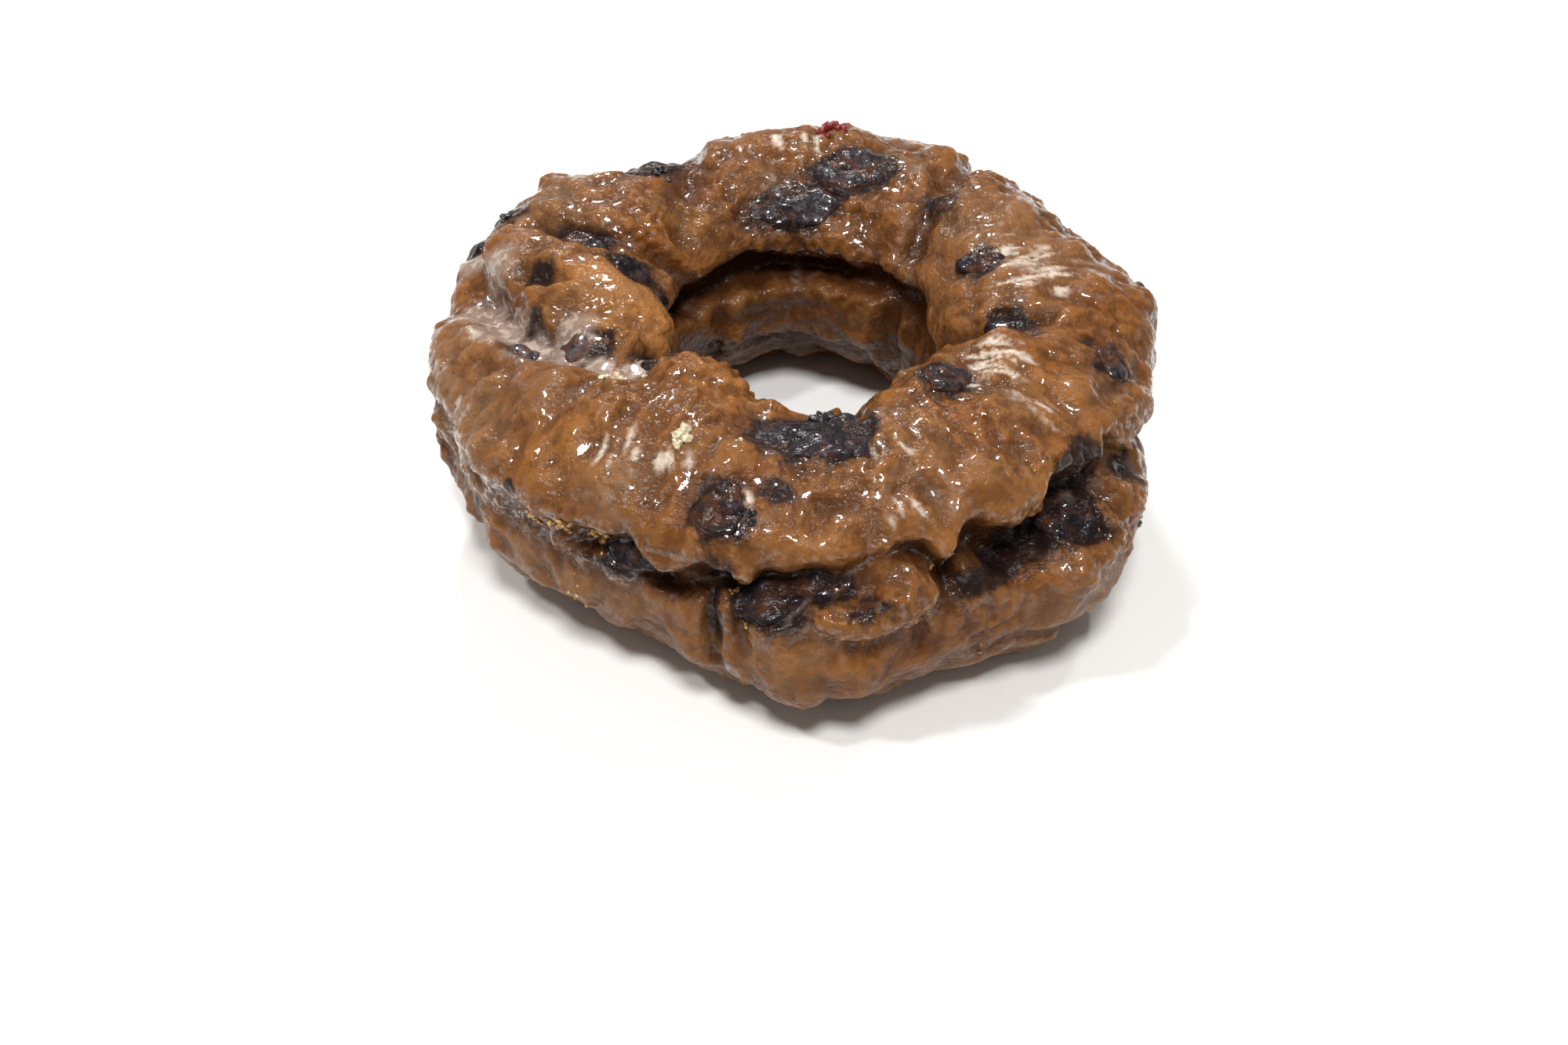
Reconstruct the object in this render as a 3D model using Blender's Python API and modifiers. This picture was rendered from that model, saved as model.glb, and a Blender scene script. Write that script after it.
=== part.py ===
"""Glazed cake doughnut: a fried ring that split into a cap and a base, with berries baked into its crust.

Metres, +Z up. The ring lies on its flat underside at z = 0, round the Z axis.
Angles round the ring are degrees from +X towards +Y. Angles round the dough's section are degrees
from the outer side (0) over the crown (90) to the wall of the hole (180) and the underside (270).
"""

import math

import bmesh
import bpy
import numpy as np
from mathutils import Matrix

# Driving sizes of the ring
OUTER_RADIUS = 0.0466
HOLE_RADIUS = 0.0152
HEIGHT = 0.0325

# The dough's section, a full oval whose lowest part is pressed flat by the tray it drained on
RING_RADIUS = (OUTER_RADIUS + HOLE_RADIUS) / 2
HALF_WIDTH = (OUTER_RADIUS - HOLE_RADIUS) / 2
PRESSED_FLAT = 0.0012
HALF_HEIGHT = (HEIGHT + PRESSED_FLAT) / 2
MID_HEIGHT = HEIGHT - HALF_HEIGHT
SECTION_FULLNESS = 2.25
TRAY_SIDE = 0.12
TRAY_DEPTH = 0.01

# Steps of the fine surface, and the share of its triangles that the finished solid keeps
STEPS_ROUND_RING = 480
STEPS_ROUND_SECTION = 192
EVEN_STEP = 0.0005
TRIANGLES_KEPT = 0.0312

# Each list below holds (degrees round the ring, value), and the values between are eased.
# How far the outline stands out from a true circle, at the cap and at the base
CAP_OUTLINE = [(0, 0.0014), (25, -0.0020), (55, -0.0010), (85, -0.0008), (118, -0.0036), (148, 0.0006),
               (163, -0.0004), (176, -0.0020), (190, 0.0), (202, -0.0014), (215, 0.0), (245, -0.0004),
               (270, -0.0006), (305, 0.0006), (335, 0.0006), (350, -0.0006)]
BASE_OUTLINE = [(0, -0.0014), (60, -0.0008), (120, -0.0012), (148, -0.0008), (163, -0.0012),
                (176, -0.0026), (190, -0.0008), (202, -0.0026), (214, -0.0026), (228, -0.0042),
                (245, -0.0046), (256, -0.0030), (264, -0.0010), (270, 0.0006), (278, 0.0002),
                (289, -0.0010), (303, 0.0002), (312, 0.0024), (322, 0.0024), (335, -0.0002), (350, -0.0030)]

# How far the rim of the hole stands into it, at the cap and at the base
CAP_HOLE = [(0, 0.0), (60, 0.0), (120, 0.0), (175, 0.0008), (215, 0.0006), (242, 0.0016), (258, -0.0008),
            (285, -0.0014), (302, -0.0014), (330, -0.0004)]
BASE_HOLE = [(0, -0.0020), (55, -0.0022), (90, -0.0026), (125, -0.0020), (200, -0.0008), (270, 0.0),
             (320, -0.0006)]

# Where on the section each outline fades in, as the sine of the angle from base to cap, and as the cosine
# towards the outer side and towards the hole
CAP_FADE = (0.1, 0.6)
OUTER_FADE = (-0.15, 0.75)
HOLE_FADE = (0.1, -0.5)

# The outer split: where the cap's lip lies on the section, how deep the split is and how far down it opens
LIP_ANGLE = [(0, 18), (25, 24), (60, 30), (100, 26), (140, 30), (180, 26), (205, 24), (222, 31),
             (240, 37), (252, 40), (268, 38), (280, 38), (288, 42), (296, 46), (306, 46), (314, 49),
             (323, 45), (333, 30), (345, 20)]
SPLIT_DEPTH = [(0, 0.0022), (30, 0.0032), (90, 0.0030), (150, 0.0026), (172, 0.0011), (200, 0.0007),
               (226, 0.0009), (238, 0.0036), (262, 0.0048), (276, 0.0036), (284, 0.0026), (294, 0.0038),
               (304, 0.0052), (315, 0.0056), (330, 0.0030), (345, 0.0016)]
SPLIT_WIDTH = [(0, 0.0050), (90, 0.0060), (200, 0.0036), (240, 0.0062), (262, 0.0084), (282, 0.0056),
               (300, 0.0084), (315, 0.0088), (335, 0.0052)]
SPLIT_UNDERCUT = 0.0009
SPLIT_FLOOR = 0.5
SPLIT_SPAN = 95.0
LIP_BULGE = 0.0009
LIP_BULGE_ABOVE = 0.0019
LIP_BULGE_REACH = 0.0032

# The inner split, on the wall of the hole
INNER_LIP_ANGLE = [(0, 149), (45, 149), (90, 150), (112, 151), (135, 149), (180, 148), (270, 150), (320, 150)]
INNER_DEPTH = [(0, 0.0022), (60, 0.0034), (100, 0.0050), (135, 0.0038), (200, 0.0016), (270, 0.0014),
               (330, 0.0018)]
INNER_WIDTH = 0.0058
INNER_SPAN = 80.0

# Flaps of cap crust that hang over the outer split: degrees round the ring, drop, half width
FLAPS = {
    "left shelf": (232, 0.0008, 0.0060),
    "front left tongue": (250.5, 0.0032, 0.0044),
    "front left tooth": (262.5, 0.0040, 0.0013),
    "right tooth": (292.5, 0.0026, 0.0016),
    "right tongue": (305.0, 0.0034, 0.0050),
    "first finger": (317.4, 0.0026, 0.0015),
    "second finger": (322.6, 0.0030, 0.0016),
    "third finger": (329.0, 0.0016, 0.0014),
    "back tongue": (38, 0.0024, 0.0050),
    "back tooth": (58, 0.0022, 0.0018),
    "back shelf": (96, 0.0018, 0.0065),
    "back left tongue": (133, 0.0028, 0.0045),
    "back left tooth": (158, 0.0022, 0.0018),
}

# Ridges and clefts in the crust: the line each follows, as (round the ring, round the section), then its half
# width, height (negative for a cleft) and the share of the half width that is flat
FOLDS = {
    "left valley": ([(180, 60), (196, 80), (205, 96), (219, 108), (217, 142)], 0.0042, -0.0030, 0.3),
    "tongue": ([(168, 72), (178, 96), (192, 134)], 0.0056, 0.0021, 0.6),
    "tongue groove": ([(159, 72), (157, 110), (142, 166)], 0.0024, -0.0026, 0.2),
    "tongue notch": ([(177, 80), (182, 94)], 0.0024, -0.0020, 0.2),
    "left shoulder": ([(210, 66), (226, 82)], 0.0060, 0.0006, 0.5),
    "left side ridge": ([(202, 40), (206, 62)], 0.0020, 0.0009, 0.3),
    "rim crag left": ([(234, 118), (248, 130)], 0.0040, 0.0017, 0.7),
    "rim crag front": ([(262, 120), (274, 122)], 0.0026, 0.0008, 0.4),
    "rim notch": ([(286, 112), (291, 142)], 0.0017, -0.0034, 0.1),
    "rim crag right": ([(302, 114), (316, 122)], 0.0044, 0.0018, 0.7),
    "right cleft": ([(346, 146), (339, 112), (349, 88)], 0.0022, -0.0024, 0.1),
    "right ridge": ([(328, 130), (332, 96)], 0.0036, 0.0012, 0.4),
    "back right cleft": ([(40, 132), (51, 77), (53, 30)], 0.0030, -0.0019, 0.2),
    "back lobe": ([(72, 60), (90, 84)], 0.0075, 0.0004, 0.4),
    "back left step": ([(113, 60), (116, 92), (136, 126)], 0.0034, -0.0016, 0.2),
    "back left lobe": ([(140, 58), (148, 70)], 0.0060, 0.0008, 0.4),
    "front dip": ([(270, 60), (280, 52)], 0.0040, -0.0007, 0.3),
    "front face bulge": ([(262, 54), (274, 50)], 0.0040, 0.0008, 0.4),
    "right face bulge": ([(298, 52), (312, 50)], 0.0050, 0.0008, 0.4),
    "base seam": ([(257, 26), (257.5, -24)], 0.0018, -0.0026, 0.1),
    "base shoulder": ([(261, 12), (268, 16)], 0.0030, 0.0014, 0.5),
    "base plate": ([(277, 22), (285, 22)], 0.0048, 0.0022, 0.7),
    "base plate seam": ([(287, 22), (288, -8)], 0.0012, -0.0012, 0.1),
    "base front lobe": ([(262, -8), (274, -14)], 0.0070, 0.0012, 0.4),
    "base right lobe": ([(296, 0), (318, -2)], 0.0060, 0.0010, 0.4),
    "base left crease": ([(216, 6), (240, 2)], 0.0022, -0.0006, 0.2),
    "inner base lobe": ([(60, 178), (84, 183), (112, 180)], 0.0060, 0.0021, 0.5),
    "inner base seam left": ([(128, 176), (131, 236)], 0.0020, -0.0014, 0.2),
    "inner base seam right": ([(42, 172), (38, 236)], 0.0022, -0.0016, 0.2),
    "back base seam": ([(76, 18), (80, -30)], 0.0020, -0.0016, 0.1),
    "back base lobe": ([(100, 0), (118, -6)], 0.0062, 0.0010, 0.4),
    "underside pucker": ([(20, 272), (74, 266)], 0.0016, -0.0010, 0.1),
}

# Lumps of the crust, as (size, height, seed), and the raggedness of the split's lip
SWELLS = [(0.0240, 0.00045, 3)]
LUMPS = [(0.0120, 0.00034, 11), (0.0072, 0.00026, 27)]
LIP_RAGGED = [(0.0105, 0.0006, 41), (0.0050, 0.0005, 57)]
LUMP_CREASE = 0.8
WAVES = 20
WAVE_SPREAD = 0.3

# Berries that show, level with the crust: round the ring, round the section, length, width, and the turn
# of the length from the ring's direction in degrees
BERRIES = {
    "berry_front_top": (275, 98, 0.0134, 0.0098, -4),
    "berry_front_face": (258, 57, 0.0060, 0.0050, 80),
    "berry_front_split": (265.5, 19, 0.0084, 0.0044, 0),
    "berry_front_split_end": (274, 25.5, 0.0060, 0.0032, 4),
    "berry_left_split": (244.5, 25.5, 0.0074, 0.0042, 10),
    "berry_right_split": (315.5, 24, 0.0078, 0.0068, 62),
    "berry_right_rim": (312, 105, 0.0052, 0.0046, 20),
    "berry_right_cleft": (343.5, 102, 0.0070, 0.0042, 70),
    "berry_right_top": (341, 57, 0.0042, 0.0034, 20),
    "berry_right_back": (10, 113, 0.0046, 0.0036, 40),
    "berry_right_edge": (7, 30, 0.0052, 0.0038, 0),
    "berry_right_base": (333.5, -2, 0.0050, 0.0036, 20),
    "berry_back_small": (43, 103, 0.0034, 0.0030, 0),
    "berry_back_top": (72.5, 104, 0.0098, 0.0076, 26),
    "berry_back_inner": (90, 126, 0.0110, 0.0072, 0),
    "berry_back_left": (125, 79, 0.0078, 0.0050, 0),
    "berry_left_outer": (152.5, 47, 0.0062, 0.0046, 60),
    "berry_left_side": (161.5, 36, 0.0056, 0.0038, 70),
    "berry_left_crest": (158.5, 96, 0.0082, 0.0038, 90),
    "berry_left_tongue": (169, 128, 0.0104, 0.0044, 84),
    "berry_left_pool": (205.5, 100, 0.0062, 0.0050, 40),
    "berry_left_pool_outer": (198, 77, 0.0042, 0.0036, 20),
    "berry_left_rim": (220, 127, 0.0062, 0.0050, 10),
}
BERRY_SIDES = 10
BERRY_RINGS = 6
BERRY_SQUARENESS = 0.75
BERRY_RIM_SUNK = 0.0004
BERRY_PROUD = 0.0011
BERRY_DEPTH = 0.0030
BERRY_LUMPS = (0.0036, 0.00030, 71)
OUTLINE_WAVES = [(2, 0.10), (3, 0.08), (5, 0.04)]
SOCKET_GAP = 0.00040
SOCKET_TOP = 0.0030

CRUST_COLOUR = (0.20, 0.085, 0.03, 1.0)
CRUST_ROUGHNESS = 0.35
BERRY_COLOUR = (0.022, 0.016, 0.028, 1.0)
BERRY_ROUGHNESS = 0.3


def clear_scene():
    """Removes the objects that a new scene starts with."""
    for obj in list(bpy.data.objects):
        bpy.data.objects.remove(obj)


def make_material(name, colour, roughness):
    """A dielectric finish of one colour."""
    material = bpy.data.materials.new(name)
    material.use_nodes = True
    shader = material.node_tree.nodes["Principled BSDF"]
    shader.inputs["Base Color"].default_value = colour
    shader.inputs["Roughness"].default_value = roughness
    shader.inputs["Metallic"].default_value = 0.0
    material.diffuse_color = colour
    return material


def crust_material():
    """Brown crust under a thin sugar glaze."""
    return make_material("fried crust", CRUST_COLOUR, CRUST_ROUGHNESS)


def berry_material():
    """Wet, nearly black berry skin."""
    return make_material("berry", BERRY_COLOUR, BERRY_ROUGHNESS)


def ease(share):
    """0 to 1 with level ends."""
    share = np.clip(share, 0.0, 1.0)
    return share * share * (3.0 - 2.0 * share)


def fade(value, span):
    """0 where the value is at the span's start and 1 at its end."""
    start, end = span
    return ease((value - start) / (end - start))


def round_the_ring(degrees, stations):
    """The value at each angle, eased from one (degrees, value) station to the next."""
    angles = np.array([angle for angle, _ in stations] + [stations[0][0] + 360.0])
    values = np.array([value for _, value in stations] + [stations[0][1]])
    turned = np.mod(degrees - angles[0], 360.0) + angles[0]
    index = np.clip(np.searchsorted(angles, turned, side="right") - 1, 0, len(stations) - 1)
    share = (turned - angles[index]) / (angles[index + 1] - angles[index])
    return values[index] + (values[index + 1] - values[index]) * ease(share)


def apart(first, second):
    """The turn in degrees from the second angle to the first, between -180 and 180."""
    return np.mod(first - second + 180.0, 360.0) - 180.0


def waves(points, size, seed):
    """Smooth random relief, mostly between -1 and 1: waves of about this size in random directions."""
    chance = np.random.default_rng(seed)
    ways = chance.normal(size=(WAVES, 3))
    ways /= np.linalg.norm(ways, axis=1, keepdims=True)
    ways *= 2 * math.pi / size * (1.0 + WAVE_SPREAD * chance.uniform(-1.0, 1.0, (WAVES, 1)))
    starts = chance.uniform(0.0, 2 * math.pi, WAVES)
    return np.sin(points @ ways.T + starts).sum(-1) * math.sqrt(1.0 / WAVES)


def relief_of(octaves, points, shape):
    """The sum of several sizes of random relief, each passed through shape."""
    return sum(height * shape(waves(points, size, seed)) for size, height, seed in octaves)


def plain_section(section):
    """Distance outwards and upwards from the middle of the dough to the section with no relief."""
    c, s = np.cos(np.radians(section)), np.sin(np.radians(section))
    power = 2.0 / SECTION_FULLNESS
    return HALF_WIDTH * np.sign(c) * np.abs(c) ** power, HALF_HEIGHT * np.sign(s) * np.abs(s) ** power


def outline(around, section):
    """How far the sides stand out from true circles: the cap's outline above, the base's below."""
    c, s = np.cos(np.radians(section)), np.sin(np.radians(section))
    above = fade(s, CAP_FADE)
    outer = above * round_the_ring(around, CAP_OUTLINE) + (1.0 - above) * round_the_ring(around, BASE_OUTLINE)
    inner = above * round_the_ring(around, CAP_HOLE) + (1.0 - above) * round_the_ring(around, BASE_HOLE)
    return fade(c, OUTER_FADE) * outer + fade(c, HOLE_FADE) * inner


def split(below_lip, depth, width):
    """Depth of a split at a distance below its lip: a steep undercut, then a slope back out."""
    falls = ease(below_lip / SPLIT_UNDERCUT)
    returns = fade(below_lip, (SPLIT_FLOOR * width, width))
    return -depth * falls * (1.0 - returns)


def lip_drop(around):
    """How far the cap's flaps hang below its lip line."""
    drop = np.zeros_like(around)
    for angle, fall, half_width in FLAPS.values():
        distance = np.abs(apart(around, angle)) * math.radians(1.0) * OUTER_RADIUS
        drop = np.maximum(drop, fall * np.sqrt(np.clip(1.0 - (distance / half_width) ** 2, 0.0, 1.0)))
    return drop


def outer_split(around, section, ragged):
    """Relief of the outer split and of the crust that bulges over it."""
    lip = round_the_ring(around, LIP_ANGLE)
    below = np.radians(lip - apart(section, 0.0)) * HALF_WIDTH - lip_drop(around) + ragged
    here = np.abs(apart(section, 0.0)) < SPLIT_SPAN
    depth = round_the_ring(around, SPLIT_DEPTH)
    width = round_the_ring(around, SPLIT_WIDTH)
    bulge = LIP_BULGE * np.exp(-(((below + LIP_BULGE_ABOVE) / LIP_BULGE_REACH) ** 2))
    return here * (split(below, depth, width) + bulge)


def inner_split(around, section, ragged):
    """Relief of the split round the wall of the hole."""
    lip = round_the_ring(around, INNER_LIP_ANGLE)
    below = np.radians(apart(section, lip)) * HALF_WIDTH + ragged
    here = np.abs(apart(section, 180.0)) < INNER_SPAN
    return here * split(below, round_the_ring(around, INNER_DEPTH), INNER_WIDTH)


def distance_to_run(around, section, start, end):
    """Distance over the crust to the straight run between two (round the ring, round the section) points."""
    middle = math.radians((start[1] + end[1]) / 2)
    across_ring = math.radians(1.0) * (RING_RADIUS + HALF_WIDTH * math.cos(middle))
    across_section = math.radians(1.0) * HALF_HEIGHT
    run_x = apart(end[0], start[0]) * across_ring
    run_y = apart(end[1], start[1]) * across_section
    x = apart(around, start[0]) * across_ring
    y = apart(section, start[1]) * across_section
    share = np.clip((x * run_x + y * run_y) / (run_x**2 + run_y**2), 0.0, 1.0)
    return np.hypot(x - share * run_x, y - share * run_y)


def folds(around, section):
    """Relief of the named ridges and clefts."""
    relief = np.zeros_like(around)
    for line, half_width, height, flat in FOLDS.values():
        distance = np.min([distance_to_run(around, section, *run) for run in zip(line, line[1:])], axis=0)
        relief += height * (1.0 - fade(distance, (flat * half_width, half_width)))
    return relief


def billow(height):
    """Turns smooth waves into rounded lumps with creases between them."""
    return 2.0 * np.abs(height) - LUMP_CREASE


def place(around, section, relief):
    """Points at these angles that stand this far out from the plain ring."""
    out, up = plain_section(section)
    reach = np.hypot(out, up)
    radius = RING_RADIUS + out + relief * out / reach
    height = MID_HEIGHT + up + relief * up / reach
    turn = np.radians(around)
    return np.stack([radius * np.cos(turn), radius * np.sin(turn), height], -1)


def crust_relief(around, section):
    """How far the dough's crust stands out from the plain ring."""
    plain = place(around, section, 0.0)
    ragged = relief_of(LIP_RAGGED, plain, np.asarray)
    return (
        outline(around, section)
        + relief_of(SWELLS, plain, np.asarray)
        + relief_of(LUMPS, plain, billow)
        + folds(around, section)
        + outer_split(around, section, ragged)
        + inner_split(around, section, ragged)
    )


def fried_ring():
    """The fine surface, a circle spun round the Z axis whose points are then moved onto the crust."""
    shape = bmesh.new()
    upright = Matrix.Translation((RING_RADIUS, 0.0, 0.0)) @ Matrix.Rotation(math.radians(90), 4, "X")
    bmesh.ops.create_circle(shape, segments=STEPS_ROUND_SECTION, radius=HALF_WIDTH, matrix=upright)
    bmesh.ops.spin(shape, geom=shape.verts[:] + shape.edges[:], cent=(0, 0, 0), axis=(0, 0, 1),
                   angle=2 * math.pi, steps=STEPS_ROUND_RING, use_merge=True)
    bmesh.ops.recalc_face_normals(shape, faces=shape.faces[:])
    mesh = bpy.data.meshes.new("dough")
    shape.to_mesh(mesh)
    shape.free()
    points = np.empty(len(mesh.vertices) * 3)
    mesh.vertices.foreach_get("co", points)
    x, y, z = points.reshape(-1, 3).T
    around = np.degrees(np.arctan2(y, x))
    section = np.degrees(np.arctan2(z, np.hypot(x, y) - RING_RADIUS))
    moved = place(around, section, crust_relief(around, section))
    middle = (moved.max(0) + moved.min(0)) / 2 * (1, 1, 0)
    mesh.vertices.foreach_set("co", (moved - middle).ravel())
    mesh.update()
    return mesh, middle


def berry_shape(name, berry, gap, top, middle):
    """A squashed berry whose top lies level with the crust, or with a gap its socket."""
    around, section, length, width, turn = berry
    shape = bmesh.new()
    bmesh.ops.create_uvsphere(shape, u_segments=BERRY_SIDES, v_segments=BERRY_RINGS, radius=1.0)
    mesh = bpy.data.meshes.new(name)
    shape.to_mesh(mesh)
    shape.free()
    points = np.empty(len(mesh.vertices) * 3)
    mesh.vertices.foreach_get("co", points)
    x, y, z = points.reshape(-1, 3).T
    bearing = np.arctan2(y, x)
    rim = np.clip(np.hypot(x, y), 0.0, 1.0) ** BERRY_SQUARENESS
    rim = rim * (1.0 + sum(size * np.sin(times * (bearing + section)) for times, size in OUTLINE_WAVES))
    c, s = math.cos(math.radians(turn)), math.sin(math.radians(turn))
    across_ring = math.radians(1.0) * (RING_RADIUS + HALF_WIDTH * math.cos(math.radians(section)))
    across_section = math.radians(1.0) * HALF_HEIGHT

    def angles(margin):
        along = rim * np.cos(bearing) * (length / 2 + margin)
        across = rim * np.sin(bearing) * (width / 2 + margin)
        turned_along, turned_across = along * c - across * s, along * s + across * c
        return around + turned_along / across_ring, section + turned_across / across_section

    crust = crust_relief(*angles(0.0))
    level = np.stack([np.ones_like(x), rim * np.cos(bearing), rim * np.sin(bearing)], -1)
    level = level @ np.linalg.lstsq(level, crust, rcond=None)[0]
    rise = np.sign(z) * np.abs(z) ** BERRY_SQUARENESS
    rise = np.where(rise > 0, rise * top, rise * (BERRY_DEPTH + gap)) - BERRY_RIM_SUNK
    if not gap:
        lump_size, lump_height, seed = BERRY_LUMPS
        rise = rise + lump_height * waves(place(*angles(0.0), level), lump_size, seed) * np.clip(z, 0.0, 1.0)
    spots = place(*angles(gap), level + rise)
    mesh.vertices.foreach_set("co", (spots - middle).ravel())
    mesh.update()
    return mesh


def tray_shape():
    """The block of space under the tray's surface, which the dough's underside was pressed flat against."""
    shape = bmesh.new()
    sides = Matrix.Diagonal((TRAY_SIDE, TRAY_SIDE, TRAY_DEPTH, 1.0))
    bmesh.ops.create_cube(shape, size=1.0, matrix=Matrix.Translation((0.0, 0.0, -TRAY_DEPTH / 2)) @ sides)
    mesh = bpy.data.meshes.new("tray")
    shape.to_mesh(mesh)
    shape.free()
    return mesh


def add_object(name, mesh, collection):
    obj = bpy.data.objects.new(name, mesh)
    mesh.shade_smooth()
    collection.objects.link(obj)
    return obj


def add_collection(name):
    collection = bpy.data.collections.new(name)
    bpy.context.scene.collection.children.link(collection)
    return collection


def main():
    clear_scene()
    doughnut = add_collection("doughnut")
    cutters = add_collection("cutters")
    berry_skin = berry_material()

    mesh, middle = fried_ring()
    dough = add_object("dough", mesh, doughnut)
    dough.data.materials.append(crust_material())

    for name, berry in BERRIES.items():
        piece = add_object(name, berry_shape(name, berry, 0.0, BERRY_PROUD, middle), doughnut)
        piece.data.materials.append(berry_skin)
        piece.parent = dough
        add_object(name + "_socket", berry_shape(name, berry, SOCKET_GAP, SOCKET_TOP, middle), cutters)
    add_object("tray", tray_shape(), cutters)
    for cutter in cutters.objects:
        cutter.hide_render = True
        cutter.display_type = "WIRE"

    even = dough.modifiers.new("even crust", "REMESH")
    even.mode = "VOXEL"
    even.voxel_size = EVEN_STEP
    even.use_smooth_shade = True
    coarser = dough.modifiers.new("coarser crust", "DECIMATE")
    coarser.ratio = TRIANGLES_KEPT
    coarser.use_collapse_triangulate = True
    cut = dough.modifiers.new("sockets and underside", "BOOLEAN")
    cut.operand_type = "COLLECTION"
    cut.collection = cutters
    cut.operation = "DIFFERENCE"
    cut.solver = "EXACT"


main()
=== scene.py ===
import math

import bmesh
import bpy
import numpy as np
from mathutils import Matrix, Vector, kdtree, noise


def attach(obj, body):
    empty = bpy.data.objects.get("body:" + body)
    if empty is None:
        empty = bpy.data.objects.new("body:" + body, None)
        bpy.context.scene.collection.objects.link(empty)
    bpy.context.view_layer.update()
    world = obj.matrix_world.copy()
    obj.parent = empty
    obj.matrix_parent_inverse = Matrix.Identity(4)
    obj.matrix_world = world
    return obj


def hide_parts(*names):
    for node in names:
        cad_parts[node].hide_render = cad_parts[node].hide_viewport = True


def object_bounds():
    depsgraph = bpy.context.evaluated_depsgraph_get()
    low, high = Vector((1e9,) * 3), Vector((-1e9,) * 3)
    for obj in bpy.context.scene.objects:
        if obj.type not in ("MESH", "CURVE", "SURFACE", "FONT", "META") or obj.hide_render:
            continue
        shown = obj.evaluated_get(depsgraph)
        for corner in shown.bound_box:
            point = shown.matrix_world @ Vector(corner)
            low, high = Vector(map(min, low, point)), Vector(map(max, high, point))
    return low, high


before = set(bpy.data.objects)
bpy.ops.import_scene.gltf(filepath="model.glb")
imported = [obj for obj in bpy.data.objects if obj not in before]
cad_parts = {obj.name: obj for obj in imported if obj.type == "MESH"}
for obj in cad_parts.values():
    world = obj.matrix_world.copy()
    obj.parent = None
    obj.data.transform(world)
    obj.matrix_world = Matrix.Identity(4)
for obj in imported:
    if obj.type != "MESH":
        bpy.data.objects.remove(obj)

cad_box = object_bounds()

# Dough. A ring of cake batter, fried until its side split open all round, so a cap sits on a base.
# The crust is crumb that swelled into small lumps and wrinkles, browned by the fat, then dipped in thin
# sugar glaze that dried to a wet-looking film and lies milky in the hollows.
RING_RADIUS = 0.0309
HALF_WIDTH = 0.0157
HALF_HEIGHT = 0.01685
MID_HEIGHT = 0.01565
FULLNESS = 2.25
SKIN_STEP = 0.00036
FACET_SMOOTHING = 24
CURVE_SMOOTHING = 14
RELIEF_SHADING_SMOOTHING = 6
SHARP_EDGE = 0.00016
MOST_TRIANGLES = 194000
BERRY_PROUD = 0.0007
CRUST_CURVE = 0.018
PLUG_SPREAD = 0.0007

# Sizes across and heights of the crust's relief, from broad swells down to fine grain
SWELL_SIZE, SWELL_HEIGHT = 0.0046, 0.00050
WRINKLE_WIDTH, WRINKLE_LENGTH, WRINKLE_HEIGHT = 0.0018, 0.0055, 0.00022
LUMP_SIZE, LUMP_HEIGHT = 0.0027, 0.00075
CRUMB_SIZE, CRUMB_HEIGHT = 0.0012, 0.00032
GRAIN_SIZE, GRAIN_HEIGHT = 0.00075, 0.00012
TORN_SIZE, TORN_HEIGHT = 0.0011, 0.00045
CREASE_LEVEL = 0.55
ROUGH_PATCH_SIZE = 0.0080
POOL_HEIGHT = 0.00020
BERRY_MARGIN, MARGIN_DEPTH = 0.0012, 0.00015
FLAT_BELOW, FLAT_FADE = 0.0003, 0.0010

# Sizes of what the glaze draws on the crust, whose white streaks are partly painted reflection, and distances
# over which a colour, painted shade or painted light fades
VEIN_WIDTH, VEIN_LENGTH, VEIN_PATCH_SIZE = 0.0032, 0.0075, 0.0110
STREAK_WIDTH, STREAK_LENGTH, STREAK_SLANT = 0.0008, 0.0050, 0.2
JUICE_REACH = 0.0045
RECESS_SHADE_DEPTH = 0.0040
RELIEF_SHADING_RANGE = 0.00024
PALE_BELOW = 0.009
STATION_STEP, STATION_REACH = 6.0, 4.0

# Each patch: round the ring and round the section in degrees, half length and half width in metres, strength.
# Glaze that has pooled and dried milky
MILKY = [
    (180, 58, 0.0036, 0.0040, 0.9), (188, 68, 0.0036, 0.0044, 1.0), (197, 80, 0.0036, 0.0036, 1.0),
    (204, 92, 0.0034, 0.0032, 0.9), (212, 102, 0.0026, 0.0020, 1.0), (217, 116, 0.0016, 0.0030, 1.0),
    (198, 100, 0.0034, 0.0034, 0.8),
    (164, 46, 0.0036, 0.0040, 0.9), (172, 66, 0.0036, 0.0036, 0.8), (226, 132, 0.0026, 0.0012, 0.7),
    (6, 94, 0.0026, 0.0030, 0.5), (339, 118, 0.0012, 0.0024, 0.5), (319, 84, 0.0016, 0.0018, 0.5),
    (259, -24, 0.0030, 0.0020, 0.7), (330, -28, 0.0070, 0.0020, 0.5), (300, -32, 0.0080, 0.0016, 0.4),
    (215, -24, 0.0120, 0.0020, 0.4), (287, 10, 0.0008, 0.0036, 0.5), (251, 40, 0.0034, 0.0006, 0.7),
    (100, 108, 0.0050, 0.0030, 0.3), (60, 88, 0.0024, 0.0030, 0.4), (140, 66, 0.0030, 0.0030, 0.4),
]
# Glaze drawn out in white streaks, partly painted reflection
STREAKS_AND_PAINTED_REFLECTIONS = [
    (9, 96, 0.0064, 0.0056, 1.15), (328, 101, 0.0046, 0.0036, 1.1), (318, 71, 0.0024, 0.0022, 1.0),
    (291, 82, 0.0036, 0.0020, 0.8), (236, 70, 0.0050, 0.0036, 0.6), (198, 40, 0.0056, 0.0060, 0.4),
    (264, 68, 0.0030, 0.0018, 0.5), (287, 58, 0.0022, 0.0022, 0.6),
    (90, 84, 0.0060, 0.0050, 0.5), (216, 124, 0.0020, 0.0020, 0.8), (246, 76, 0.0030, 0.0024, 0.5),
]
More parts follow.
